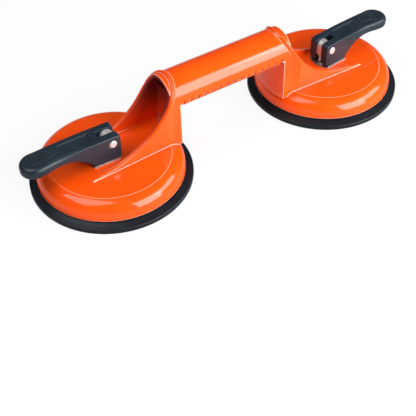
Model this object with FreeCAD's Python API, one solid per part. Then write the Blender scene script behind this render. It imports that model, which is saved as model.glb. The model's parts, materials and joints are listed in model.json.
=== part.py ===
import FreeCAD, Part
import math
import os

from FreeCAD import Vector

# Double suction lifter: one moulded bridge handle over two rubber cups.
# Millimetres, +Z up, origin on the floor midway between the cups.
# Each cup is drawn round the Z axis with the handle towards -X, and "out"
# means away from the middle of the handle. The left one is its mirror image.

# Driving dimensions: the whole lifter
cup_spacing = 191.0          # between the two cup axes
handle_top = 68.0            # top of the handle above the floor

# Rubber pad, stepped so that the cover rim seats on it
pad_radius = 59.0
pad_edge_height = 3.0        # upright outer edge before the slope
pad_edge_round = 0.8
pad_seat_height = 6.7        # rubber seat under the cover rim
pad_slope_drop = 0.9         # seat to start of the sloping top
pad_web = 2.4                # rubber under the insert plate
pad_lift = 2.8               # hollow under the middle when locked
pad_flat_ring = 14.0         # width of the sealing ring on the floor
pad_key_height = 2.6         # upstand that centres the cover
pad_key_width = 1.8
pad_key_gap = 0.2            # key to the inside of the cover
pad_web_slope_run = 4.0      # the top of the rubber falls from the key to the insert
pad_web_slope_start = 1.0    # under the seat
pad_hollow_fullness = 0.55   # height half way up the hollow, part of its whole height

# Cover of each cup
cover_radius = 53.5
cover_top = 19.8
cover_wall = 2.8
cover_shoulder = 9.0         # radial width of the rounded shoulder
cover_side_height = 3.6      # nearly upright band above the rim
cover_side_draft = 0.25
crease_angle = 14.0          # slope of the shoulder where it leaves the top
rim_overhang = 0.9           # rim stands out past the rubber seat
rib_count = 8
rib_thickness = 1.8
rib_height = 5.0

# Guide boss, spring and stem
stem_diameter = 7.0
stem_bore_gap = 0.25         # radial, moulded bore round the stem
boss_wall = 2.4
boss_length = 2.4            # below the cover roof
spring_mean_radius = 12.0
spring_wire = 1.5
spring_turns = 3.5
spring_end_gap = 0.15
spring_ring_gap = 0.8        # round the outside of the spring
spring_ring_wall = 1.6
spring_ring_height = 3.0
seat_thickness = 0.8
seat_boss_gap = 0.3          # seat ring round the guide boss
insert_radius = 30.0
insert_thickness = 1.5
collar_radius = 8.0
collar_height = 1.6
washer_radius = 7.5
washer_thickness = 0.8
nut_flats = 11.0
nut_height = 2.6
nut_chamfer_run = 1.0
nut_chamfer_drop = 0.6
thread_gap = 0.04            # radial, between a threaded bore and the stem

# Handle bar, an arch in section with a flat grip underneath
handle_radius = 15.8
handle_side = 0.4            # upright between the arch and the grip corner
handle_wall = 2.8
tunnel_corner = 2.0          # lower corners of the bore, drawn as chamfers
grip_corner = 3.2
grip_pitch = 6.0
grip_notch = 0.8             # half width of each notch along the grip's two edges
grip_notch_bite = 0.9        # into the side
grip_notch_height = 3.4
grip_count = 15
underarm_round = 2.0         # inside corner of leg and grip
underarm_bite = 0.5          # its filling reaches this far into leg and grip

# Leg and mouth
leg_radius_top = 53.0        # back of the leg at the grip, round the cup axis
leg_back_extra = 0.4         # the back of the leg is this much thicker at its foot
mouth_start = 44.0           # flare begins this far inboard of the cup axis
mouth_lean = 0.5             # inboard lean of the lip over the arch, run per rise
mouth_flare = 2.2            # lip stands out from the handle
mouth_flare_length = 6.0
mouth_flare_steps = 4
mouth_base_half = 16.3       # outer half width at the foot, where the flare begins
mouth_foot_half = 19.1       # the same at the outboard corner
mouth_reach = 20.3           # outboard end of the floor from the cup axis
mouth_wall = 2.4
mouth_lip_wall = 5.0         # thickness at the rim over the top
rim_round = 1.2              # outer edge of the rim
mouth_floor = 21.0
mouth_floor_slope = 3.0      # ramp down to the cover at the outboard end
mouth_floor_round = 2.5
mouth_end_bulge = 0.4        # sides grow this much towards the handle axis height
rim_top = (-49.3, 70.2)      # rim curve in side view, out from the cup axis
rim_top_pull = (-31.6, 34.8)
rim_foot_pull = (-18.5, 23.7)

# Wear plate
plate_thickness = 1.0
plate_half_width = 9.6
plate_out = 16.0
plate_in = 4.0
plate_bulge = 3.4
plate_hole_gap = 0.6

# Lever, flat when locked, turned up to let go
pin_height = 35.4
pin_diameter = 6.0
pin_overhang = 0.5           # each end stands proud of the lever
pin_end_round = 0.7
pin_fit = 0.06               # radial running fit in the lever
eye_fit = 0.03               # radial fit in the stem eye
lever_half_width = 9.0
lever_rest_gap = 0.15        # lever foot over the wear plate
lever_in_share = 0.45283019  # inner end face from the pin, to the pin's height over the foot
lever_block_out = 15.2       # outer end of the foot from the pin
lever_rise = 6.0             # top face over the pin
lever_reach = 65.0           # tip from the pin
lever_tip_drop = 3.4         # underside of the tip under the pin
lever_top_fall = 1.6         # top slopes down to the tip by this
lever_fall_start = 20.0      # from here on
lever_past = 2.0             # the side view runs on past the tip before the plan trims it
lever_arch_rise = -1.6       # crown of the underside against the pin
lever_tip_half = 10.3
lever_tip_flat = 12.0        # the underside is flat over this run
lever_edge_round = 0.9       # edges of the arm
lever_tip_round = 3.4        # top edge of the tip
lever_low_round = 2.8        # lower edge of the tip
lever_heel_run = 5.2         # underside leaves the foot over this run
lever_crown_out = 31.6       # crown of the underside from the pin
lever_waist = 26.8           # widening begins this far from the tip
lever_waist_pull = 6.0
lever_end_round = 2.2
right_swivel = 6.0           # each stem settles a little off the handle line,
left_swivel = -1.5           # with its lever, pin and wear plate (degrees)
stroke = 2.5                 # the stem sinks this much as the lever comes up
lever_turn = 90.0
slot_half_width = 3.1
slot_out = 8.4
panel_depth = 0.9
panel_in = 12.5
panel_out = 36.0
panel_half = 4.6
thumb_ring_in = 13.5         # centre of the thumb rest from the tip
thumb_ring = 1.5
thumb_teardrops = ((6.6, 14.5), (4.4, 9.5))   # round end, and its centre to the point's
thumb_point_round = 0.8
thumb_groove_width = 0.7
thumb_groove_depth = 0.6
eye_gap = 0.3                # each side of the eye in the fork
eye_radius = 5.0
eye_flat_drop = 9.0          # the shank widens to the head from this far under the pin
eye_neck_length = 4.0
eye_neck_spread = 1.2        # the neck opens to this many eye radii
shank_flat_start = 0.4       # the shank is round up to this far under the plate's top

# Derived places
half_spacing = cup_spacing / 2
handle_axis = handle_top - handle_radius
grip_face = handle_axis - handle_side - grip_corner
cover_roof = cover_top - cover_wall
seat_radius = cover_radius - rim_overhang
insert_bottom = pad_lift + pad_web
insert_top = insert_bottom + insert_thickness
collar_top = insert_top + collar_height
plate_top = mouth_floor + plate_thickness
lever_in = lever_in_share * (pin_height - plate_top - lever_rest_gap)
bore_radius = stem_diameter / 2 + stem_bore_gap
boss_radius = bore_radius + boss_wall
cam_fall = stroke / math.radians(lever_turn)
cam_steps = 6                # points through which the cam curve is drawn
floor_edge_least = 10.0      # the mouth floor's side edges are longer than this
on_curve = 0.02              # an edge this near to the rim curve belongs to it
bisections = 40              # halvings that find where the cam meets the end face
FAR = 200.0                  # beyond any piece


def polygon_face(points):
    return Part.Face(Part.makePolygon([Vector(*p) for p in points + points[:1]]))


def edges_face(edges):
    return Part.Face(Part.Wire(edges))


def line(a, b):
    return Part.LineSegment(Vector(*a), Vector(*b)).toShape()


def arc(a, middle, b):
    return Part.Arc(Vector(*a), Vector(*middle), Vector(*b)).toShape()


def turned(face):
    """Solid of revolution about the cup axis."""
    return face.revolve(Vector(0, 0, 0), Vector(0, 0, 1), 360)


def disc(radius, low, high):
    return Part.makeCylinder(radius, high - low, Vector(0, 0, low))


def ring(outer, inner, low, high):
    return disc(outer, low, high).cut(disc(inner, low - 1, high + 1))


def arch_wire(x, base, foot_half, radius, axis):
    """Arch in the plane X = x: straight sides under a half round."""
    foot = [(x, -foot_half, base), (x, foot_half, base)]
    spring = [(x, radius, axis), (x, -radius, axis)]
    return Part.Wire([
        line(foot[0], foot[1]),
        line(foot[1], spring[0]),
        arc(spring[0], (x, 0, axis + radius), spring[1]),
        line(spring[1], foot[0]),
    ])


def cup_place(shape):
    """Move a piece drawn round the Z axis to the right cup."""
    moved = shape.copy()
    moved.translate(Vector(half_spacing, 0, 0))
    return moved


def left_of(shape):
    return shape.mirror(Vector(0, 0, 0), Vector(1, 0, 0))


# Cover of one cup: a turned shell with a guide boss, a spring ring and ribs
def cover_outline(inset):
    """Half section of the cover, moved inwards by a wall."""
    side_top = pad_seat_height + cover_side_height
    rim = cover_radius - inset
    side = rim - cover_side_draft
    roof = cover_top - inset
    crease = cover_radius - cover_shoulder - cover_side_draft
    start = math.radians(90 - crease_angle)
    middle = math.radians((90 - crease_angle) / 2)
    wide = (side - crease) / (1 - math.cos(start))
    tall = (roof - side_top) / math.sin(start)

    def shoulder(angle):
        return (crease + (math.cos(angle) - math.cos(start)) * wide, 0,
                side_top + math.sin(angle) * tall)

    low = pad_seat_height - (1 if inset else 0)
    return edges_face([
        line((0, 0, low), (rim, 0, low)),
        line((rim, 0, low), shoulder(0)),
        arc(shoulder(0), shoulder(middle), shoulder(start)),
        line(shoulder(start), (0, 0, roof)),
        line((0, 0, roof), (0, 0, low)),
    ])


def cover_shell():
    return turned(cover_outline(0))


def cover_hollow():
    """Space under the cover, less the boss, the spring ring and the ribs."""
    space = turned(cover_outline(cover_wall))
    ring_in = spring_mean_radius + spring_wire / 2 + spring_ring_gap
    ring_out = ring_in + spring_ring_wall
    keep = [disc(boss_radius, cover_roof - boss_length, cover_top)]
    keep.append(ring(ring_out, ring_in, cover_roof - spring_ring_height, cover_top))
    rib_out = cover_radius
    for n in range(rib_count):
        rib = Part.makeBox(rib_out - ring_in, rib_thickness, rib_height + cover_wall,
                           Vector(ring_in, -rib_thickness / 2, cover_roof - rib_height))
        rib.rotate(Vector(0, 0, 0), Vector(0, 0, 1), 360.0 * (n + 0.5) / rib_count)
        keep.append(rib)
    ribs = keep[0].fuse(keep[1:])
    return space.cut(ribs)


# Handle bar and legs
def handle_section(x):
    """Closed arch of the handle with rounded grip corners."""
    r = handle_radius
    c = grip_corner
    low = grip_face
    shift = c * (1 - math.sqrt(0.5))
    return Part.Wire([
        line((x, -r + c, low), (x, r - c, low)),
        arc((x, r - c, low), (x, r - shift, low + shift), (x, r, low + c)),
        line((x, r, low + c), (x, r, handle_axis)),
        arc((x, r, handle_axis), (x, 0, handle_top), (x, -r, handle_axis)),
        line((x, -r, handle_axis), (x, -r, low + c)),
        arc((x, -r, low + c), (x, -r + shift, low + shift), (x, -r + c, low)),
    ])


def handle_bar():
    end = half_spacing - mouth_start + mouth_flare_length / 2
    lean = mouth_lean * handle_radius
    bar = Part.Face(handle_section(-end)).extrude(Vector(2 * end, 0, 0))
    trim = polygon_face([
        (-end, -FAR / 2, 0), (end, -FAR / 2, 0), (end, -FAR / 2, handle_axis),
        (end - lean, -FAR / 2, handle_top), (lean - end, -FAR / 2, handle_top),
        (-end, -FAR / 2, handle_axis)])
    bar = bar.common(trim.extrude(Vector(0, FAR, 0)))
    notches = []
    off_side = handle_radius - grip_notch_bite + grip_notch
    for n in range(grip_count):
        x = (n - (grip_count - 1) / 2) * grip_pitch
        for side in (1, -1):
            notch = Part.makeCylinder(grip_notch, 2 * grip_notch_height,
                                      Vector(x, side * off_side,
                                             grip_face - grip_notch_height))
            notches.append(notch)
    return bar.cut(notches)


def leg():
    """Upright leg: arch section whose back follows the cup wall."""
    base = cover_roof
    start = -cover_radius - 1
    section = arch_wire(start, base, mouth_base_half, handle_radius, handle_axis)
    block = Part.Face(section).extrude(Vector(-mouth_start - start, 0, 0))
    back = turned(polygon_face([
        (0, 0, base), (cover_radius - cover_side_draft, 0, base),
        (leg_radius_top, 0, handle_top + 1), (0, 0, handle_top + 1)]))
    grip_end = Part.makeBox(2 * cover_radius, 4 * handle_radius, handle_top,
                            Vector(-2 * cover_radius, -2 * handle_radius, grip_face))
    return block.common(back.fuse(grip_end))


def underarm():
    """Rounded corner where the back of the leg meets the grip face."""
    r = underarm_round
    wall = leg_radius_top - underarm_bite
    shift = r * (1 - math.sqrt(0.5))
    corner = (leg_radius_top + r, 0, grip_face)
    face = edges_face([
        line((wall, 0, grip_face - r), (leg_radius_top, 0, grip_face - r)),
        arc((leg_radius_top, 0, grip_face - r),
            (leg_radius_top + shift, 0, grip_face - shift), corner),
        line(corner, (corner[0], 0, grip_face + underarm_bite)),
        line((corner[0], 0, grip_face + underarm_bite), (wall, 0, grip_face + underarm_bite)),
        line((wall, 0, grip_face + underarm_bite), (wall, 0, grip_face - r)),
    ])
    band = Part.makeBox(2 * cover_radius, 2 * (handle_radius - grip_corner), handle_top,
                        Vector(-2 * cover_radius, grip_corner - handle_radius, 0))
    return turned(face).common(band)


# Mouth: the flared scoop that rises from the cup round the lever
def foot_half(x):
    """Outer half width of the mouth at the foot, x from the cup axis."""
    run = (x + mouth_start) / (mouth_start + mouth_reach)
    return mouth_base_half + (mouth_foot_half - mouth_base_half) * run


def leaned(shape):
    """Shape with everything over the handle axis leaned inboard."""
    upper = Part.makeBox(FAR, FAR, FAR, Vector(-FAR / 2, -FAR / 2, handle_axis))
    matrix = FreeCAD.Matrix(1, 0, -mouth_lean, mouth_lean * handle_axis,
                            0, 1, 0, 0,
                            0, 0, 1, 0,
                            0, 0, 0, 1)
    top = shape.common(upper).transformGeometry(matrix)
    return shape.cut(upper).fuse(top)


def mouth_outer():
    stations = []
    for n in range(mouth_flare_steps + 1):
        run = n / mouth_flare_steps
        x = -mouth_start + mouth_flare_length * run
        grow = mouth_flare * math.sin(math.pi / 2 * run)
        stations.append(arch_wire(x, cover_roof, foot_half(x), handle_radius + grow,
                                  handle_axis))
    flare = Part.makeLoft(stations, True, False)
    x = mouth_reach + mouth_floor_slope
    end = arch_wire(x, cover_roof, foot_half(x), foot_half(x) + mouth_end_bulge,
                    handle_axis)
    sides = Part.makeLoft([stations[-1], end], True, True)
    return leaned(flare.fuse(sides))


def rim_curve():
    """Side view of the rim: it falls steeply and then runs out."""
    rim = Part.BezierCurve()
    foot = (mouth_reach, mouth_floor)
    rim.setPoles([Vector(x, 0, z) for x, z in (rim_top, rim_top_pull, rim_foot_pull, foot)])
    return rim


def swoop_side():
    foot = (mouth_reach, 0, mouth_floor)
    back = -cover_radius
    ramp_end = (mouth_reach + mouth_floor_slope, 0, cover_top)
    outline = [
        rim_curve().toShape(),
        line(foot, ramp_end),
        line(ramp_end, (ramp_end[0], 0, cover_roof)),
        line((ramp_end[0], 0, cover_roof), (back, 0, cover_roof)),
        line((back, 0, cover_roof), (back, 0, rim_top[1])),
        line((back, 0, rim_top[1]), (rim_top[0], 0, rim_top[1])),
    ]
    face = edges_face(outline)
    face.translate(Vector(0, -FAR / 2, 0))
    return face.extrude(Vector(0, FAR, 0))


def scoop():
    """Outside of the mouth, cut off along the rim and rounded there."""
    block = mouth_outer().common(swoop_side())
    rim = rim_curve()
    edges = []
    for edge in block.Edges:
        ends = (edge.FirstParameter, (edge.FirstParameter + edge.LastParameter) / 2,
                edge.LastParameter)
        seen = [Vector(edge.valueAt(p).x, 0, edge.valueAt(p).z) for p in ends]
        off = max(point.distanceToPoint(rim.value(rim.parameter(point))) for point in seen)
        crosses = edge.BoundBox.XLength < 0.01 and edge.BoundBox.YLength > handle_radius
        if off < on_curve and not crosses:
            edges.append(edge)
    return block.makeFillet(rim_round, edges)


def mouth_space():
    """Hollow of the mouth, closed by the back of the leg."""
    inner_radius = handle_radius + mouth_flare - mouth_lip_wall
    start = -cover_radius
    end = mouth_reach + mouth_floor_slope + 1
    wires = []
    for x in (start, end):
        wires.append(arch_wire(x, mouth_floor, foot_half(x) - mouth_wall, inner_radius,
                               handle_axis))
    space = Part.makeLoft(wires, True, True)
    low_edges = [e for e in space.Edges
                 if abs(e.BoundBox.ZMin - mouth_floor) < 0.01
                 and abs(e.BoundBox.ZMax - mouth_floor) < 0.01
                 and e.BoundBox.XLength > floor_edge_least]
    space = space.makeFillet(mouth_floor_round, low_edges)
    back = turned(polygon_face([
        (0, 0, mouth_floor - 1), (cover_radius - cover_wall - leg_back_extra, 0, mouth_floor - 1),
        (leg_radius_top - cover_wall, 0, handle_top + 5), (0, 0, handle_top + 5)]))
    return space.common(back)


def tunnel():
    """Bore of the handle from mouth to mouth."""
    r = handle_radius + mouth_flare - mouth_lip_wall
    floor = grip_face + handle_wall
    end = half_spacing - mouth_start + 3
    rise = handle_axis - floor
    half = math.sqrt(r * r - rise * rise) if rise < 0 else r
    c = tunnel_corner
    a = (-end, -half + c, floor)
    b = (-end, half - c, floor)
    top = (-end, 0, handle_axis + r)
    side = max(floor + c, handle_axis)
    reach = math.sqrt(r * r - (side - handle_axis) ** 2)
    section = Part.Wire([
        line(a, b),
        line(b, (-end, reach, side)),
        arc((-end, reach, side), top, (-end, -reach, side)),
        line((-end, -reach, side), a),
    ])
    return Part.Face(section).extrude(Vector(2 * end, 0, 0))


def body_moulding():
    half = cover_shell().fuse([leg(), underarm(), scoop()])
    half = half.cut([cover_hollow(), disc(bore_radius, 0, handle_top)])
    right = cup_place(half)
    whole = handle_bar().fuse([right, left_of(right)])
    space = cup_place(mouth_space())
    whole = whole.cut([tunnel(), space, left_of(space)])
    return whole.removeSplitter()


# Rubber pad: a turned disc with a sealing ring and a hollow under its middle
def rubber_pad():
    edge = pad_radius - pad_edge_round
    key_out = seat_radius - cover_wall - pad_key_gap
    key_in = key_out - pad_key_width
    web_end = key_in - pad_web_slope_run
    web_top = pad_seat_height - pad_web_slope_start
    hollow_start = pad_radius - pad_flat_ring
    hollow_end = insert_radius
    bottom = insert_bottom - pad_web
    middle = ((hollow_start + hollow_end) / 2, 0, bottom * pad_hollow_fullness)
    slope_top = pad_seat_height - pad_slope_drop
    shift = pad_edge_round * (1 - math.sqrt(0.5))
    outline = [
        arc((hollow_start, 0, 0), middle, (hollow_end, 0, bottom)),
        line((hollow_end, 0, bottom), (0, 0, bottom)),
        line((0, 0, bottom), (0, 0, insert_bottom)),
        line((0, 0, insert_bottom), (web_end, 0, insert_bottom)),
        line((web_end, 0, insert_bottom), (key_in, 0, web_top)),
        line((key_in, 0, web_top),
             (key_in, 0, pad_seat_height + pad_key_height)),
        line((key_in, 0, pad_seat_height + pad_key_height),
             (key_out, 0, pad_seat_height + pad_key_height)),
        line((key_out, 0, pad_seat_height + pad_key_height),
             (key_out, 0, pad_seat_height)),
        line((key_out, 0, pad_seat_height), (seat_radius, 0, pad_seat_height)),
        line((seat_radius, 0, pad_seat_height), (seat_radius, 0, slope_top)),
        line((seat_radius, 0, slope_top), (edge, 0, pad_edge_height + pad_edge_round)),
        arc((edge, 0, pad_edge_height + pad_edge_round),
            (pad_radius - shift, 0, pad_edge_height + pad_edge_round - shift),
            (pad_radius, 0, pad_edge_height)),
        line((pad_radius, 0, pad_edge_height), (pad_radius, 0, pad_edge_round)),
        arc((pad_radius, 0, pad_edge_round), (pad_radius - shift, 0, shift),
            (edge, 0, 0)),
        line((edge, 0, 0), (hollow_start, 0, 0)),
    ]
    return turned(edges_face(outline))


# Steel disc bonded to the rubber, with a threaded collar for the stem
def insert_plate():
    plate = disc(insert_radius, insert_bottom, insert_top)
    collar = disc(collar_radius, insert_top, collar_top)
    bore = disc(stem_diameter / 2 + thread_gap, insert_bottom - 1, collar_top + 1)
    return plate.fuse(collar).cut(bore)


def lock_washer():
    bore = stem_diameter / 2 + thread_gap
    return ring(washer_radius, bore, collar_top, collar_top + washer_thickness)


def lock_nut():
    low = collar_top + washer_thickness
    corner = nut_flats / 2 / math.cos(math.radians(30))
    points = []
    for n in range(6):
        turn = math.radians(60 * n)
        points.append((corner * math.cos(turn), corner * math.sin(turn), low))
    nut = polygon_face(points).extrude(Vector(0, 0, nut_height))
    nut = nut.common(turned(polygon_face([
        (0, 0, low), (corner, 0, low), (corner, 0, low + nut_height - nut_chamfer_drop),
        (corner - nut_chamfer_run, 0, low + nut_height), (0, 0, low + nut_height)])))
    return nut.cut(disc(stem_diameter / 2 + thread_gap, low - 1, low + nut_height + 1))


def spring_seat():
    inner = boss_radius + seat_boss_gap
    outer = spring_mean_radius + spring_wire / 2 + spring_ring_gap / 2
    return ring(outer, inner, cover_roof - seat_thickness, cover_roof)


def return_spring():
    low = insert_top + spring_end_gap + spring_wire / 2
    high = cover_roof - seat_thickness - spring_end_gap - spring_wire / 2
    pitch = (high - low) / spring_turns
    helix = Part.makeHelix(pitch, high - low, spring_mean_radius)
    helix.translate(Vector(0, 0, low))
    circle = Part.Circle(Vector(spring_mean_radius, 0, low), Vector(0, 1, 0),
                         spring_wire / 2)
    section = Part.Wire(circle.toShape())
    return Part.Wire(helix.Edges).makePipeShell([section], True, True)


# Eye stem: round shank under a flat head with the pin hole
def eye_stem():
    half = slot_half_width - eye_gap
    round_top = plate_top - shank_flat_start
    shank = disc(stem_diameter / 2, insert_bottom, round_top)
    head = Part.makeCylinder(eye_radius, 2 * half, Vector(0, -half, pin_height),
                             Vector(0, 1, 0))
    flat = Part.makeBox(2 * eye_radius, 2 * half, pin_height - round_top,
                        Vector(-eye_radius, -half, round_top))
    neck_low = pin_height - eye_flat_drop
    neck = turned(polygon_face([
        (0, 0, round_top), (stem_diameter / 2, 0, round_top),
        (stem_diameter / 2, 0, neck_low), (eye_radius * eye_neck_spread, 0, neck_low + eye_neck_length),
        (eye_radius * eye_neck_spread, 0, FAR), (0, 0, FAR)]))
    body = shank.fuse(head.fuse(flat).common(neck))
    hole = Part.makeCylinder(pin_diameter / 2 + eye_fit, FAR,
                             Vector(0, -FAR / 2, pin_height), Vector(0, 1, 0))
    return body.cut(hole).removeSplitter()


def pivot_pin():
    half = lever_half_width + pin_overhang
    r = pin_diameter / 2
    e = pin_end_round
    face = polygon_face([
        (0, -half, 0), (r - e, -half, 0), (r, -half + e, 0), (r, half - e, 0),
        (r - e, half, 0), (0, half, 0)])
    pin = face.revolve(Vector(0, 0, 0), Vector(0, 1, 0), 360)
    pin.translate(Vector(0, 0, pin_height))
    return pin


# Thin steel plate that the foot of the lever slides on
def wear_plate():
    w = plate_half_width
    z = mouth_floor
    face = edges_face([
        line((-plate_in, -w, z), (plate_out, -w, z)),
        line((plate_out, -w, z), (plate_out, w, z)),
        line((plate_out, w, z), (-plate_in, w, z)),
        arc((-plate_in, w, z), (-plate_in - plate_bulge, 0, z), (-plate_in, -w, z)),
    ])
    plate = face.extrude(Vector(0, 0, plate_thickness))
    hole = disc(bore_radius + plate_hole_gap, z - 1, z + plate_thickness + 1)
    return plate.cut(hole)


# Cam lever, drawn locked: side view, then trimmed by its plan outline
def cam_point(turn):
    """Foot of the cam when the lever has come up by this turn (radians)."""
    reach = pin_height - plate_top - lever_rest_gap - cam_fall * turn
    return (-reach * math.sin(turn) + cam_fall * math.cos(turn), 0,
            pin_height - reach * math.cos(turn) - cam_fall * math.sin(turn))


def lever_side():
    foot = plate_top + lever_rest_gap
    top = pin_height + lever_rise
    last = math.radians(lever_turn)
    low_turn, high_turn = 0.0, last
    for n in range(bisections):
        turn = (low_turn + high_turn) / 2
        if cam_point(turn)[0] > -lever_in:
            low_turn = turn
        else:
            high_turn = turn
    cam_points = [Vector(*cam_point(turn * n / cam_steps)) for n in range(cam_steps + 1)]
    cam = Part.BSplineCurve()
    cam.interpolate(cam_points)
    end = (-lever_in, 0, cam_points[-1].z)
    r = lever_end_round
    shift = r * (1 - math.sqrt(0.5))
    crown = pin_height + lever_arch_rise
    past = lever_reach + lever_past
    low = pin_height - lever_tip_drop
    under = Part.BSplineCurve()
    under.interpolate([
        Vector(lever_block_out, 0, foot),
        Vector(lever_block_out + lever_heel_run, 0, (foot + crown) / 2),
        Vector(lever_crown_out, 0, crown),
        Vector(lever_reach - lever_tip_flat, 0, low),
        Vector(past, 0, low)])
    fall_point = (lever_fall_start, 0, top)
    top_end = (past, 0, top - lever_top_fall)
    return edges_face([
        cam.toShape(),
        line(end, (-lever_in, 0, top - r)),
        arc((-lever_in, 0, top - r), (-lever_in + shift, 0, top - shift),
            (-lever_in + r, 0, top)),
        line((-lever_in + r, 0, top), fall_point),
        line(fall_point, top_end),
        line(top_end, (past, 0, low)),
        under.toShape(),
        line((lever_block_out, 0, foot), tuple(cam_points[0])),
    ])


def lever_plan():
    w = lever_half_width
    t = lever_tip_half
    waist = lever_reach - lever_waist
    x_tip = lever_reach - t
    pull = lever_waist_pull
    low = 0.0
    flank = []
    for side in (1, -1):
        curve = Part.BezierCurve()
        curve.setPoles([Vector(waist, side * w, low), Vector(waist + pull, side * w, low),
                        Vector(x_tip - pull, side * t, low), Vector(x_tip, side * t, low)])
        flank.append(curve.toShape())
    face = edges_face([
        line((-lever_in - 1, -w, low), (waist, -w, low)),
        flank[1],
        arc((x_tip, -t, low), (lever_reach, 0, low), (x_tip, t, low)),
        flank[0],
        line((waist, w, low), (-lever_in - 1, w, low)),
        line((-lever_in - 1, w, low), (-lever_in - 1, -w, low)),
    ])
    return face.extrude(Vector(0, 0, handle_top))


def lever_rounded(block):
    """Rounded edges that grow from the arm to the tip."""
    waist = lever_reach - lever_waist
    tip = lever_reach - lever_tip_half
    spec = []
    for index, edge in enumerate(block.Edges):
        box = edge.BoundBox
        along = box.XLength > 1
        upper = along and box.ZMin > pin_height + lever_rise / 2
        lower = along and box.ZMax < pin_height and box.XMin > waist - 0.1
        if not upper and not lower:
            continue
        big = lever_tip_round if upper else lever_low_round
        start = end = lever_edge_round
        if box.XMin > tip - 0.1:
            start = end = big
        elif box.XMin > waist - 0.1:
            if edge.Vertexes[0].X < edge.Vertexes[-1].X:
                end = big
            else:
                start = big
        elif box.XMin < lever_end_round - lever_in - 0.1:
            continue
        spec.append((index + 1, start, end))
    document = FreeCAD.newDocument()
    source = document.addObject("Part::Feature", "source")
    source.Shape = block
    rounded = document.addObject("Part::Fillet", "rounded")
    rounded.Base = source
    rounded.Edges = spec
    document.recompute()
    solid = rounded.Shape.Solids[0].copy()
    FreeCAD.closeDocument(document.Name)
    return solid


def teardrop(big, far):
    """Plan of a thumb groove: a round end with two straight sides to a blunt point."""
    small = thumb_point_round
    turn = math.acos((big - small) / far)
    a = (big * math.cos(turn), big * math.sin(turn))
    b = (far + small * math.cos(turn), small * math.sin(turn))
    return Part.Face(Part.Wire([
        line((-a[0], a[1], 0), (-b[0], b[1], 0)),
        arc((-b[0], b[1], 0), (-far - small, 0, 0), (-b[0], -b[1], 0)),
        line((-b[0], -b[1], 0), (-a[0], -a[1], 0)),
        arc((-a[0], -a[1], 0), (big, 0, 0), (-a[0], a[1], 0)),
    ]))


def thumb_grooves():
    """Two nested teardrops and a small ring, cut into the sloping top of the tip."""
    w = thumb_groove_width
    depth = thumb_groove_depth
    tools = []
    for big, far in thumb_teardrops:
        band = teardrop(big, far).cut(teardrop(big - w, far))
        tools.append(band.extrude(Vector(0, 0, depth + 1)))
    tools.append(ring(thumb_ring, thumb_ring - w, 0, depth + 1))
    slope = math.degrees(math.atan2(lever_top_fall,
                                    lever_reach + lever_past - lever_fall_start))
    x = lever_reach - thumb_ring_in
    fall = (x - lever_fall_start) * math.tan(math.radians(slope))
    placed = []
    for tool in tools:
        tool.rotate(Vector(0, 0, 0), Vector(0, 1, 0), slope)
        tool.translate(Vector(x, 0, pin_height + lever_rise - fall - depth))
        placed.append(tool)
    return placed


def lever():
    side = lever_side()
    side.translate(Vector(0, -FAR / 2, 0))
    block = side.extrude(Vector(0, FAR, 0)).common(lever_plan())
    block = lever_rounded(block)
    top = pin_height + lever_rise
    slot = Part.makeBox(slot_out + 2 * lever_in, 2 * slot_half_width, 2 * handle_top,
                        Vector(-2 * lever_in, -slot_half_width, 0))
    panel = Part.makeBox(panel_out - panel_in, 2 * panel_half, panel_depth + 1,
                         Vector(panel_in, -panel_half, top - panel_depth))
    hole = Part.makeCylinder(pin_diameter / 2 + pin_fit, FAR,
                             Vector(0, -FAR / 2, pin_height), Vector(0, 1, 0))
    return block.cut([slot, panel, hole] + thumb_grooves())


os.makedirs("parts", exist_ok=True)

cup_pieces = {
    "rubber_pad": rubber_pad,
    "insert_plate": insert_plate,
    "lock_washer": lock_washer,
    "lock_nut": lock_nut,
    "spring_seat": spring_seat,
    "return_spring": return_spring,
    "eye_stem": eye_stem,
    "pivot_pin": pivot_pin,
    "wear_plate": wear_plate,
    "lever": lever,
}

swivelling = ("eye_stem", "pivot_pin", "wear_plate", "lever")
nodes = {"body_moulding": body_moulding()}
for name, make in cup_pieces.items():
    for side, swivel in (("right", right_swivel), ("left", left_swivel)):
        piece = make()
        if name in swivelling:
            if side == "left":
                piece = left_of(piece)
            piece.rotate(Vector(0, 0, 0), Vector(0, 0, 1), swivel)
        place = half_spacing if side == "right" else -half_spacing
        piece.translate(Vector(place, 0, 0))
        nodes[side + "_" + name] = piece

for name, shape in nodes.items():
    shape.exportStep(os.path.join("parts", name + ".step"))
    box = shape.BoundBox
    print(name, "valid" if shape.isValid() else "NOT VALID", "solids", len(shape.Solids),
          "volume %.0f" % shape.Volume,
          "x %.1f %.1f y %.1f %.1f z %.1f %.1f" % (box.XMin, box.XMax, box.YMin, box.YMax,
                                                   box.ZMin, box.ZMax))
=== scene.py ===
import json
import math

import bmesh
import bpy
from mathutils import Matrix, Vector

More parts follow.
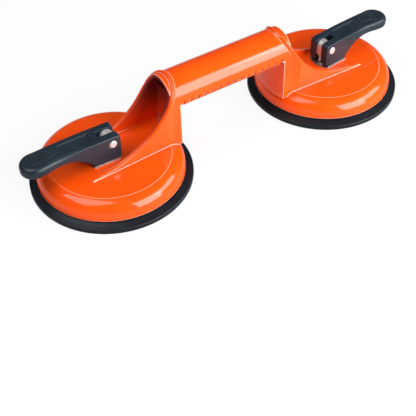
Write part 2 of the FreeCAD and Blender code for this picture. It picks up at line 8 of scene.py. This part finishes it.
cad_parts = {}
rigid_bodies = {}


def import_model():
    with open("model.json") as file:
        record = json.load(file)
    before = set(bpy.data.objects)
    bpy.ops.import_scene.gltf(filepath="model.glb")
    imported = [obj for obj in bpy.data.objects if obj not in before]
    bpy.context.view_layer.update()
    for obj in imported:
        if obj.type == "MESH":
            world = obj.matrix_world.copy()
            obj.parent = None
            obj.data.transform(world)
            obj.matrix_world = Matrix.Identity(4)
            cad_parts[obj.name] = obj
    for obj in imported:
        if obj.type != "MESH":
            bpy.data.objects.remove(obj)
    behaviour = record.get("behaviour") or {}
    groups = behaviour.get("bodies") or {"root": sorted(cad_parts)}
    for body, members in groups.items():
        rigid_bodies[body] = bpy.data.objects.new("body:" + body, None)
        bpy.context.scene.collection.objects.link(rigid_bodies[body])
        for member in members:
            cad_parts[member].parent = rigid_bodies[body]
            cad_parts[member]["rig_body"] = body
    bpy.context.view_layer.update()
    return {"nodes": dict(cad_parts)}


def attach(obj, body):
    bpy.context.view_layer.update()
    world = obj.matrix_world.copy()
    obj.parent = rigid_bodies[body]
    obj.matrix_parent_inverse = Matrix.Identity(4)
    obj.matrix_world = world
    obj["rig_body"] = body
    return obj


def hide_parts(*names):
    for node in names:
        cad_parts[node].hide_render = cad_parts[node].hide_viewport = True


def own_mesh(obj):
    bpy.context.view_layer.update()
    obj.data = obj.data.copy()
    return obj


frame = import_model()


# Body moulding: handle bar, both legs, both scoop mouths and both cup covers,
# injection moulded in one piece of bright orange ABS from a polished tool.
nodes = frame["nodes"]
half_spacing = 0.0955
handle_axis = 0.0522
leg_front = 0.0410
leg_hidden = 0.0450
merge_distance = 2e-6
same_place = 1e-5
smooth_below = math.radians(32.0)


def merged_copy(node):
    """The loose triangles of a CAD node, merged to one skin."""
    mesh = bmesh.new()
    mesh.from_mesh(nodes[node].data)
    bmesh.ops.remove_doubles(mesh, verts=mesh.verts, dist=merge_distance)
    return mesh


def dressed(mesh, node, name, material):
    """The piece that stands in for a CAD node, smooth but for its real edges."""
    for face in mesh.faces:
        face.smooth = True
    for edge in mesh.edges:
        edge.smooth = (len(edge.link_faces) == 2
                       and edge.calc_face_angle(0.0) < smooth_below)
    data = bpy.data.meshes.new(name)
    mesh.to_mesh(data)
    mesh.free()
    data.materials.append(material)
    piece = bpy.data.objects.new(name, data)
    bpy.context.scene.collection.objects.link(piece)
    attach(piece, nodes[node]["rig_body"])
    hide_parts(node)
    return piece


def linear(hex_colour):
    """A shader colour from an sRGB hex value."""
    channels = [int(hex_colour[n:n + 2], 16) / 255 for n in (1, 3, 5)]
    return [c / 12.92 if c <= 0.04045 else ((c + 0.055) / 1.055) ** 2.4
            for c in channels] + [1.0]


def add_node(material, kind, settings=None, values=None, links=None):
    """One shader node with its settings, its socket values and what feeds it."""
    node = material.node_tree.nodes.new(kind)
    for name, value in (settings or {}).items():
        setattr(node, name, value)
    for socket, value in (values or {}).items():
        node.inputs[socket].default_value = value
    for socket, source in (links or {}).items():
        material.node_tree.links.new(source, node.inputs[socket])
    return node


def new_material(name):
    """A material that waits for its nodes."""
    material = bpy.data.materials.new(name)
    material.use_nodes = True
    material.node_tree.nodes.clear()
    return material


def cloudy(material, place, width, detail, low_shade, high_shade, spread=0.2):
    """Clouds of a real width, and a tone that drifts with them between two shades."""
    cloud = add_node(material, "ShaderNodeTexNoise",
                     values={"Scale": 1 / width, "Detail": detail}, links={"Vector": place})
    ramp = add_node(material, "ShaderNodeValToRGB", links={"Fac": cloud.outputs["Fac"]})
    low, high = ramp.color_ramp.elements
    low.position = 0.5 - spread
    low.color = linear(low_shade)
    high.position = 0.5 + spread
    high.color = linear(high_shade)
    return cloud.outputs["Fac"], ramp.outputs["Color"]


def grained(material, place, slope, width, strength, depth):
    """The slope of a skin with the fine grain that its mould leaves."""
    grain = add_node(material, "ShaderNodeTexNoise",
                     values={"Scale": 1 / width, "Detail": 2.0}, links={"Vector": place})
    bump = add_node(material, "ShaderNodeBump", values={"Strength": strength, "Distance": depth},
                    links={"Height": grain.outputs["Fac"], "Normal": slope})
    return bump.outputs["Normal"]


def painted_corner_shade(material, tone, slope, reach, strength):
    """A tone darkened with painted shade in corners, where light doesn't reach."""
    closed_corner = 0.25
    open_surface = 0.85
    hidden = add_node(material, "ShaderNodeAmbientOcclusion", {"samples": 6},
                      {"Distance": reach}, {"Normal": slope})
    shade = add_node(material, "ShaderNodeMapRange",
                     values={"From Min": closed_corner, "From Max": open_surface,
                             "To Min": 1.0 - strength, "To Max": 1.0},
                     links={"Value": hidden.outputs["AO"]})
    darker = add_node(material, "ShaderNodeVectorMath", {"operation": "SCALE"},
                      links={"Vector": tone, "Scale": shade.outputs["Result"]})
    return darker.outputs["Vector"]


def painted_edge_highlight(material, tone, slope, pale, share):
    """A tone with a painted highlight, a paler line, along the edges that the bevel rounds."""
    flat_face = 0.995
    sharp_edge = 0.93
    face = add_node(material, "ShaderNodeNewGeometry")
    bend = add_node(material, "ShaderNodeVectorMath", {"operation": "DOT_PRODUCT"},
                    links={0: slope, 1: face.outputs["Normal"]})
    mask = add_node(material, "ShaderNodeMapRange",
                    values={"From Min": flat_face, "From Max": sharp_edge, "To Max": share},
                    links={"Value": bend.outputs["Value"]})
    paler = add_node(material, "ShaderNodeMix", {"data_type": "RGBA"}, {7: linear(pale)},
                     {0: mask.outputs["Result"], 6: tone})
    return paler.outputs[2]


def finish_surface(material, values, links):
    """The skin that meets the light: what is the same all over, and what changes."""
    skin = add_node(material, "ShaderNodeBsdfPrincipled", values=values, links=links)
    add_node(material, "ShaderNodeOutputMaterial", links={"Surface": skin.outputs[0]})


def soft_mask(material, limits, within=None):
    """1 past every limit and 0 before it. A limit is a value, its start and its end."""
    mask = within
    for value, start, end in limits:
        step = add_node(material, "ShaderNodeMapRange", {"interpolation_type": "SMOOTHSTEP"},
                        {"From Min": start, "From Max": end}, {"Value": value})
        if mask is None:
            mask = step.outputs["Result"]
        else:
            both = add_node(material, "ShaderNodeMath", {"operation": "MULTIPLY"},
                            links={0: mask, 1: step.outputs["Result"]})
            mask = both.outputs[0]
    return mask


def distance(material, first, second):
    """The straight distance that two lengths at right angles make up."""
    corner = add_node(material, "ShaderNodeCombineXYZ", links={"X": first, "Y": second})
    length = add_node(material, "ShaderNodeVectorMath", {"operation": "LENGTH"},
                      links={0: corner.outputs["Vector"]})
    return length.outputs["Value"]


def grip_notches(material, along, from_middle, off_line, height):
    """The row of slanting finger notches low on both sides of the handle."""
    pitch = 0.006
    slant = 0.35
    slant_level = 0.051
    notch_reach = 0.0008
    notch_soft = 0.0002
    row_low = 0.0470
    row_high = 0.0532
    row_off_line = 0.0142
    row_reach = 0.0435
    row_soft = 0.0004
    lean = add_node(material, "ShaderNodeMath", {"operation": "MULTIPLY_ADD"},
                    {1: slant, 2: -slant_level * slant}, {0: height})
    leaning = add_node(material, "ShaderNodeMath", {"operation": "SUBTRACT"},
                       links={0: along, 1: lean.outputs[0]})
    wave = add_node(material, "ShaderNodeMath", {"operation": "PINGPONG"}, {1: pitch / 2},
                    {0: leaning.outputs[0]})
    return soft_mask(material, (
        (wave.outputs[0], notch_reach + notch_soft, notch_reach - notch_soft),
        (height, row_low - row_soft, row_low + row_soft),
        (height, row_high + row_soft, row_high - row_soft),
        (off_line, row_off_line - row_soft, row_off_line + row_soft),
        (from_middle, row_reach + notch_soft, row_reach - notch_soft)))


def painted_crease_highlight(material, from_cup, across, height):
    """A painted highlight, a fine pale line where each cover's flat top turns into its shoulder.
    """
    line_radius = 0.04422
    line_reach = 0.0005
    line_overlap = 0.0001
    top_low = 0.0190
    top_high = 0.0200
    top_soft = 0.0001
    line_back = 0.018
    line_front = -0.030
    return soft_mask(material, (
        (from_cup, line_radius - line_reach, line_radius + line_overlap),
        (from_cup, line_radius + line_reach, line_radius - line_overlap),
        (height, top_low - top_soft, top_low + top_soft),
        (height, top_high + top_soft, top_high - top_soft),
        (across, line_back, line_front)))


# The tone and the gloss drift a little, as in any large moulding. Each crisp
# edge and each cover's crease gets a painted highlight, a thin pale line, and the
# corners and the finger notches get painted shade. Inside the mouths the skin is
# left matt and painted deep red as shade, darker towards the inner end of the tunnel.
abs_cloud_width = 0.036
abs_ripple_width = 0.0042
abs_ripple_depth = 0.0002
abs_edge_radius = 0.0009
abs_corner_reach = 0.003
notch_depth = 0.0007

# The inside lies nearer to the handle's axis than inner_reach, and in the tunnel
# than tunnel_reach, and ends leg_middle from the cup's axis. Its painted shade, a
# darker red, starts at floor_level and is full at wall_level; a still darker painted
# shade fills the deep end of the tunnel.
leg_middle = 0.0517
leg_soft = 0.0003
inner_reach = 0.0153
tunnel_reach = 0.0145
tunnel_low = 0.0492
wall_soft = 0.0004
floor_level = 0.0213
wall_level = 0.036
deep_outer = 0.088
deep_inner = 0.056
deep_low = 0.026
deep_high = 0.052

orange_abs = new_material("orange_abs_polished_moulding")
abs_place = add_node(orange_abs, "ShaderNodeTexCoord").outputs["Object"]
abs_axes = add_node(orange_abs, "ShaderNodeSeparateXYZ", links={"Vector": abs_place})
abs_along = abs_axes.outputs["X"]
abs_across = abs_axes.outputs["Y"]
abs_height = abs_axes.outputs["Z"]
abs_from_middle = add_node(orange_abs, "ShaderNodeMath", {"operation": "ABSOLUTE"},
                           links={0: abs_along}).outputs[0]
abs_off_line = add_node(orange_abs, "ShaderNodeMath", {"operation": "ABSOLUTE"},
                        links={0: abs_across}).outputs[0]
past_cup = add_node(orange_abs, "ShaderNodeMath", {"operation": "SUBTRACT"},
                    {1: half_spacing}, {0: abs_from_middle})
from_cup = distance(orange_abs, past_cup.outputs[0], abs_across)

# The mouths' walls are round above the handle's axis and upright below it, so
# only the height above the axis counts in the distance from it. The range is a
# metre long, which keeps that height in metres.
range_length = 1.0
above_axis = add_node(orange_abs, "ShaderNodeMapRange",
                      values={"From Min": handle_axis, "From Max": handle_axis + range_length},
                      links={"Value": abs_height})
from_handle = distance(orange_abs, abs_across, above_axis.outputs["Result"])
in_mouth = soft_mask(orange_abs, (
    (from_handle, inner_reach + wall_soft, inner_reach - wall_soft),
    (from_cup, leg_middle + leg_soft, leg_middle - leg_soft)))
in_tunnel = soft_mask(orange_abs, (
    (from_handle, tunnel_reach + wall_soft, tunnel_reach - wall_soft),
    (abs_height, tunnel_low - wall_soft, tunnel_low + wall_soft)))
inside = add_node(orange_abs, "ShaderNodeMath", {"operation": "MAXIMUM"},
                  links={0: in_mouth, 1: in_tunnel})
high_inside = soft_mask(orange_abs, ((abs_height, floor_level, wall_level),),
                        within=inside.outputs[0])
inside_deep_shade = soft_mask(orange_abs, (
    (abs_from_middle, deep_outer, deep_inner), (abs_height, deep_low, deep_high)),
    within=high_inside)

abs_cloud, abs_tone = cloudy(orange_abs, abs_place, abs_cloud_width, detail=3.0,
                             low_shade="#F24A08", high_shade="#F8520A")
abs_gloss = add_node(orange_abs, "ShaderNodeMapRange", values={"To Min": 0.11, "To Max": 0.17},
                     links={"Value": abs_cloud})
matt_inside = 0.55
abs_matt = add_node(orange_abs, "ShaderNodeMath", {"operation": "MULTIPLY_ADD"},
                    {1: matt_inside}, {0: high_inside, 2: abs_gloss.outputs["Result"]})
abs_notch = grip_notches(orange_abs, abs_along, abs_from_middle, abs_off_line, abs_height)
abs_edge = add_node(orange_abs, "ShaderNodeBevel", {"samples": 8},
                    {"Radius": abs_edge_radius}).outputs["Normal"]
abs_cut = add_node(orange_abs, "ShaderNodeBump", {"invert": True},
                   {"Strength": 1.0, "Distance": notch_depth},
                   {"Height": abs_notch, "Normal": abs_edge})
abs_slope = grained(orange_abs, abs_place, abs_cut.outputs["Normal"], abs_ripple_width,
                    strength=0.02, depth=abs_ripple_depth)

# Painted highlight: a pale line along every edge of the moulding.
abs_tone = painted_edge_highlight(orange_abs, abs_tone, abs_edge, pale="#FFDCC4", share=0.8)
# Painted highlight: a pale line along each cover's crease, at line_strength.
line_strength = 0.6
crease = add_node(orange_abs, "ShaderNodeMath", {"operation": "MULTIPLY"}, {1: line_strength},
                  {0: painted_crease_highlight(orange_abs, from_cup, abs_across, abs_height)})
# The crease's painted highlight, then painted shade inside the mouths: darker red on the walls,
# deeper red at the tunnel's end.
for share, shade in ((crease.outputs[0], "#FFC8A4"), (high_inside, "#DC3A02"),
                     (inside_deep_shade, "#7A0C00")):
    shaded = add_node(orange_abs, "ShaderNodeMix", {"data_type": "RGBA"}, {7: linear(shade)},
                      {0: share, 6: abs_tone})
    abs_tone = shaded.outputs[2]
# Painted shade in the finger notches, down to 0.4 of the tone.
notch_painted_shade = add_node(orange_abs, "ShaderNodeMapRange", values={"To Min": 1.0, "To Max": 0.4},
                       links={"Value": abs_notch})
abs_darker = add_node(orange_abs, "ShaderNodeVectorMath", {"operation": "SCALE"},
                      links={"Vector": abs_tone, "Scale": notch_painted_shade.outputs["Result"]})
# The base colour carries painted shade in corners.
finish_surface(orange_abs, {"IOR": 1.5, "Specular IOR Level": 0.45}, {
    "Base Color": painted_corner_shade(orange_abs, abs_darker.outputs["Vector"], abs_edge,
                               reach=abs_corner_reach, strength=0.75),
    "Roughness": abs_matt.outputs[0],
    "Normal": abs_slope})

# The square ends of both legs go inside the legs, where they don't show.
body_mesh = merged_copy("body_moulding")
for vert in body_mesh.verts:
    if abs(abs(vert.co.x) - leg_front) < same_place and vert.co.z < handle_axis:
        vert.co.x = math.copysign(leg_hidden, vert.co.x)
dressed(body_mesh, "body_moulding", "bridge_moulding", orange_abs)

# Rubber pads: compression moulded black rubber, one under each cover, with a
# satin skin that shows a faint bloom and the grain of the mould. The real grain
# is too fine to show, so it is drawn 0.9 mm wide.
rubber_bloom_width = 0.0165
rubber_grain_width = 0.0009
rubber_grain_depth = 0.0001
rubber_edge_radius = 0.0008
rubber_corner_reach = 0.003
pad_rubber = new_material("black_compression_moulded_rubber")
rubber_place = add_node(pad_rubber, "ShaderNodeTexCoord").outputs["Object"]
rubber_bloom, rubber_tone = cloudy(pad_rubber, rubber_place, rubber_bloom_width, detail=5.0,
                                   low_shade="#0E141A", high_shade="#151C23")
rubber_gloss = add_node(pad_rubber, "ShaderNodeMapRange",
                        values={"To Min": 0.34, "To Max": 0.46}, links={"Value": rubber_bloom})
rubber_edge = add_node(pad_rubber, "ShaderNodeBevel", {"samples": 6},
                       {"Radius": rubber_edge_radius}).outputs["Normal"]
# Painted highlight: a paler line along the pad's edges; below, painted shade darkens its
# corners.
rubber_tone = painted_edge_highlight(pad_rubber, rubber_tone, rubber_edge, pale="#46525E", share=0.9)
finish_surface(pad_rubber, {"IOR": 1.5, "Specular IOR Level": 0.24}, {
    "Base Color": painted_corner_shade(pad_rubber, rubber_tone, rubber_edge,
                               reach=rubber_corner_reach, strength=0.9),
    "Roughness": rubber_gloss.outputs["Result"],
    "Normal": grained(pad_rubber, rubber_place, rubber_edge, rubber_grain_width,
                      strength=0.15, depth=rubber_grain_depth)})

# The middle of each pad carries the insert plate and follows the stem down, so
# it is a piece of its own, cut from the ring where the hollow meets the floor.
web_top = 0.0438
web_bottom = 0.0450
web_level = 0.0040


def in_web(vert, cup_centre):
    """Whether a point of the pad belongs to its middle, above or under the cut."""
    reach = web_top if vert.co.z > web_level else web_bottom
    return math.hypot(vert.co.x - cup_centre, vert.co.y) < reach + same_place


def pad_part(side, middle):
    """Either the thin middle of a pad or the ring round it, closed at the cut."""
    cup_centre = -half_spacing if side == "left" else half_spacing
    mesh = merged_copy(side + "_rubber_pad")
    removed = [face for face in mesh.faces
               if all(in_web(vert, cup_centre) for vert in face.verts) != middle]
    bmesh.ops.delete(mesh, geom=removed, context="FACES")
    cut = [edge for edge in mesh.edges if edge.is_boundary]
    bmesh.ops.bridge_loops(mesh, edges=cut)
    bmesh.ops.recalc_face_normals(mesh, faces=mesh.faces)
    return mesh


for side in ("left", "right"):
    dressed(pad_part(side, False), side + "_rubber_pad", side + "_cup_ring", pad_rubber)
    web = dressed(pad_part(side, True), side + "_rubber_pad", side + "_cup_web", pad_rubber)
    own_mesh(web)

# Insert plate, washer, nut, seat ring and wear plate: zinc plated steel, stamped
# or turned. The plating shows the cloudy, slightly blue tone of small parts that
# are plated in a barrel.
zinc_cloud_width = 0.0055
zinc_edge_radius = 0.0002
zinc_steel = new_material("bright_zinc_plated_steel")
zinc_place = add_node(zinc_steel, "ShaderNodeTexCoord").outputs["Object"]
zinc_cloud, zinc_tone = cloudy(zinc_steel, zinc_place, zinc_cloud_width, detail=4.0,
                               low_shade="#C6C9CB", high_shade="#DEDFDF")
zinc_gloss = add_node(zinc_steel, "ShaderNodeMapRange", values={"To Min": 0.26, "To Max": 0.4},
                      links={"Value": zinc_cloud})
zinc_edge = add_node(zinc_steel, "ShaderNodeBevel", {"samples": 4},
                     {"Radius": zinc_edge_radius})
finish_surface(zinc_steel, {"Metallic": 1.0}, {
    "Base Color": zinc_tone,
    "Roughness": zinc_gloss.outputs["Result"],
    "Normal": zinc_edge.outputs["Normal"]})
for side in ("left", "right"):
    for part in ("insert_plate", "lock_washer", "lock_nut", "spring_seat", "wear_plate"):
        node = side + "_" + part
        dressed(merged_copy(node), node, side + "_zinc_" + part, zinc_steel)

# Return springs: drawn spring wire, oiled and dark, coiled round each guide
# boss. The fine dark streaks along the wire come from the drawing die.
wire_streak_width = 0.0024
spring_wire = new_material("oiled_drawn_spring_wire")
wire_place = add_node(spring_wire, "ShaderNodeTexCoord").outputs["Object"]
wire_tone = cloudy(spring_wire, wire_place, wire_streak_width, detail=2.0,
                   low_shade="#7D7E80", high_shade="#9A9A9A", spread=0.15)[1]
finish_surface(spring_wire, {"Metallic": 1.0, "Roughness": 0.36}, {"Base Color": wire_tone})
for side in ("left", "right"):
    node = side + "_return_spring"
    dressed(merged_copy(node), node, side + "_coil", spring_wire)

# Eye stems: stainless bar, turned to a shank and milled flat at the head, with
# brushed faces. Long thin noise gives the lines of the abrasive belt. The real
# lines are too fine to show, so they are drawn 0.28 mm wide.
brush_length = 0.0042
brush_width = 0.00028
brush_depth = 0.0001
stem_edge_radius = 0.0003
stem_steel = new_material("brushed_stainless_stem")
stem_place = add_node(stem_steel, "ShaderNodeTexCoord").outputs["Object"]
stem_stretch = add_node(stem_steel, "ShaderNodeMapping",
                        values={"Scale": (1 / brush_length, 1 / brush_width, 1 / brush_width)},
                        links={"Vector": stem_place})
stem_brush, stem_tone = cloudy(stem_steel, stem_stretch.outputs["Vector"], width=1.0,
                               detail=3.0, low_shade="#C4C3C1", high_shade="#E2E1DE")
stem_edge = add_node(stem_steel, "ShaderNodeBevel", {"samples": 4},
                     {"Radius": stem_edge_radius})
stem_bump = add_node(stem_steel, "ShaderNodeBump",
                     values={"Strength": 0.2, "Distance": brush_depth},
                     links={"Height": stem_brush, "Normal": stem_edge.outputs["Normal"]})
finish_surface(stem_steel, {"Metallic": 0.7, "Roughness": 0.5}, {
    "Base Color": stem_tone,
    "Normal": stem_bump.outputs["Normal"]})
for side in ("left", "right"):
    node = side + "_eye_stem"
    dressed(merged_copy(node), node, side + "_brushed_stem", stem_steel)

# Pivot pins: ground steel rod with turned, slightly domed ends, pressed through
# fork and stem. The marks of the lathe tool on the ends are too fine to show, so
# a drift of 1.4 mm in tone and gloss stands for them.
pin_mark_width = 0.0014
pin_edge_radius = 0.0006
pin_steel = new_material("polished_turned_pin_steel")
pin_place = add_node(pin_steel, "ShaderNodeTexCoord").outputs["Object"]
pin_marks, pin_tone = cloudy(pin_steel, pin_place, pin_mark_width, detail=2.0,
                             low_shade="#DADDDF", high_shade="#EAEDEF")
pin_gloss = add_node(pin_steel, "ShaderNodeMapRange", values={"To Min": 0.38, "To Max": 0.5},
                     links={"Value": pin_marks})
pin_edge = add_node(pin_steel, "ShaderNodeBevel", {"samples": 6},
                    {"Radius": pin_edge_radius})
finish_surface(pin_steel, {"Metallic": 0.7}, {
    "Base Color": pin_tone,
    "Roughness": pin_gloss.outputs["Result"],
    "Normal": pin_edge.outputs["Normal"]})
for side in ("left", "right"):
    node = side + "_pivot_pin"
    dressed(merged_copy(node), node, side + "_turned_pin", pin_steel)

# Levers: glass filled nylon, moulded blue-black with a spark-eroded grain, which
# is drawn 0.8 mm wide because the real one is too fine to show. They hang on the
# pins and press their feet on the wear plates.
nylon_flow_width = 0.022
nylon_grain_width = 0.00077
nylon_grain_depth = 0.0001
nylon_edge_radius = 0.0004
nylon_corner_reach = 0.0015
lever_nylon = new_material("blue_black_nylon_satin_moulding")
nylon_place = add_node(lever_nylon, "ShaderNodeTexCoord").outputs["Object"]
nylon_flow, nylon_tone = cloudy(lever_nylon, nylon_place, nylon_flow_width, detail=3.0,
                                low_shade="#1C262F", high_shade="#222D37")
nylon_gloss = add_node(lever_nylon, "ShaderNodeMapRange",
                       values={"To Min": 0.28, "To Max": 0.36}, links={"Value": nylon_flow})
nylon_edge = add_node(lever_nylon, "ShaderNodeBevel", {"samples": 12},
                      {"Radius": nylon_edge_radius}).outputs["Normal"]
# Painted highlight: a paler line along the lever's edges; below, painted shade darkens its
# grooves and corners.
nylon_tone = painted_edge_highlight(lever_nylon, nylon_tone, nylon_edge, pale="#5C6A75", share=0.35)
finish_surface(lever_nylon, {"IOR": 1.53, "Specular IOR Level": 0.3}, {
    "Base Color": painted_corner_shade(lever_nylon, nylon_tone, nylon_edge,
                               reach=nylon_corner_reach, strength=0.9),
    "Roughness": nylon_gloss.outputs["Result"],
    "Normal": grained(lever_nylon, nylon_place, nylon_edge, nylon_grain_width,
                      strength=0.12, depth=nylon_grain_depth)})
for side in ("left", "right"):
    node = side + "_lever"
    dressed(merged_copy(node), node, side + "_cam_lever", lever_nylon)

# Table and room: a sheet of white paper and white walls. The camera and the
# reflections see them as plain white at strengths of their own, and the paper
# keeps the contact shadow.
table_size = 6.0
table_gap = 0.0001
paper_mirrored = 0.5
paper_seen_share = 0.9
paper = new_material("white_paper_table")
paper_diffuse = add_node(paper, "ShaderNodeBsdfDiffuse", values={"Color": linear("#F2F2F2")})
paper_rays = add_node(paper, "ShaderNodeLightPath")
paper_level = add_node(paper, "ShaderNodeMath", {"operation": "MULTIPLY_ADD"},
                       {1: paper_mirrored}, {0: paper_rays.outputs["Is Glossy Ray"],
                                             2: paper_rays.outputs["Is Camera Ray"]})
paper_share = add_node(paper, "ShaderNodeMath", {"operation": "MULTIPLY_ADD"},
                       {1: paper_seen_share}, {0: paper_rays.outputs["Is Camera Ray"],
                                               2: paper_rays.outputs["Is Glossy Ray"]})
paper_glow = add_node(paper, "ShaderNodeEmission", values={"Color": linear("#FDFDFD")},
                      links={"Strength": paper_level.outputs[0]})
paper_mix = add_node(paper, "ShaderNodeMixShader", links={
    0: paper_share.outputs[0], 1: paper_diffuse.outputs[0], 2: paper_glow.outputs[0]})
add_node(paper, "ShaderNodeOutputMaterial", links={"Surface": paper_mix.outputs[0]})
table_mesh = bmesh.new()
bmesh.ops.create_grid(table_mesh, x_segments=1, y_segments=1, size=table_size)
bmesh.ops.translate(table_mesh, verts=table_mesh.verts, vec=(0, 0, -table_gap))
table_data = bpy.data.meshes.new("table")
table_mesh.to_mesh(table_data)
table_mesh.free()
table_data.materials.append(paper)
table = bpy.data.objects.new("table", table_data)
bpy.context.scene.collection.objects.link(table)

wall_light = 0.22
wall_mirrored = 0.07
wall_seen = 0.92
world = bpy.data.worlds.new("studio")
bpy.context.scene.world = world
world.use_nodes = True
world.node_tree.nodes.clear()
wall_rays = add_node(world, "ShaderNodeLightPath")
walls = [add_node(world, "ShaderNodeBackground",
                  values={"Color": linear("#FFFFFF"), "Strength": strength}).outputs[0]
         for strength in (wall_light, wall_mirrored, wall_seen)]
wall_lit = add_node(world, "ShaderNodeMixShader", links={
    0: wall_rays.outputs["Is Glossy Ray"], 1: walls[0], 2: walls[1]})
wall_mix = add_node(world, "ShaderNodeMixShader", links={
    0: wall_rays.outputs["Is Camera Ray"], 1: wall_lit.outputs[0], 2: walls[2]})
add_node(world, "ShaderNodeOutputWorld", links={"Surface": wall_mix.outputs[0]})

# Studio lamps: a tall strip in front at the right, which draws the pale band
# along the handle, a smaller box further right for the crescents on the covers,
# and a wide one overhead.
lit_point = (0.0, 0.0, 0.05)


def softbox(name, place, wide, tall, power):
    """One lamp with a square-cornered face, turned to the object."""
    data = bpy.data.lights.new(name, "AREA")
    data.shape = "RECTANGLE"
    data.size = wide
    data.size_y = tall
    data.energy = power
    lamp = bpy.data.objects.new(name, data)
    lamp.location = place
    aim = Vector(place) - Vector(lit_point)
    lamp.rotation_mode = "QUATERNION"
    lamp.rotation_quaternion = aim.to_track_quat("Z", "Y")
    bpy.context.scene.collection.objects.link(lamp)


softbox("strip_softbox", (0.33, -0.96, 0.44), wide=0.76, tall=0.84, power=17.0)
softbox("crescent_softbox", (0.88, -0.62, 0.60), wide=0.8, tall=0.5, power=8.5)
softbox("overhead_softbox", (-0.6, 0.1, 1.2), wide=0.9, tall=0.9, power=10.0)

# The camera stands above the left cup's near side and looks along the handle
# from 46 degrees up. Its lens is long, so the two cups come out nearly equal.
camera_data = bpy.data.cameras.new("camera")
camera_data.lens = 74.42
camera_data.sensor_width = 36.0
camera_data.clip_start = 0.01
camera_data.clip_end = 50.0
camera = bpy.data.objects.new("camera", camera_data)
bpy.context.scene.collection.objects.link(camera)
bpy.context.scene.camera = camera
camera_place = (-0.2794, -0.4171, 0.4279)
camera_azimuth = math.radians(32.46)
camera_elevation = math.radians(45.89)
camera_roll = math.radians(-1.14)
camera_back = Vector((-math.sin(camera_azimuth) * math.cos(camera_elevation),
                      -math.cos(camera_azimuth) * math.cos(camera_elevation),
                      math.sin(camera_elevation)))
level_right = (-camera_back).cross(Vector((0, 0, 1))).normalized()
level_up = level_right.cross(-camera_back)
camera_right = math.cos(camera_roll) * level_right + math.sin(camera_roll) * level_up
camera_up = math.cos(camera_roll) * level_up - math.sin(camera_roll) * level_right
camera.matrix_world = (Matrix.Translation(camera_place)
                       @ Matrix((camera_right, camera_up, camera_back)).transposed().to_4x4())

bpy.context.scene.view_settings.view_transform = "Standard"
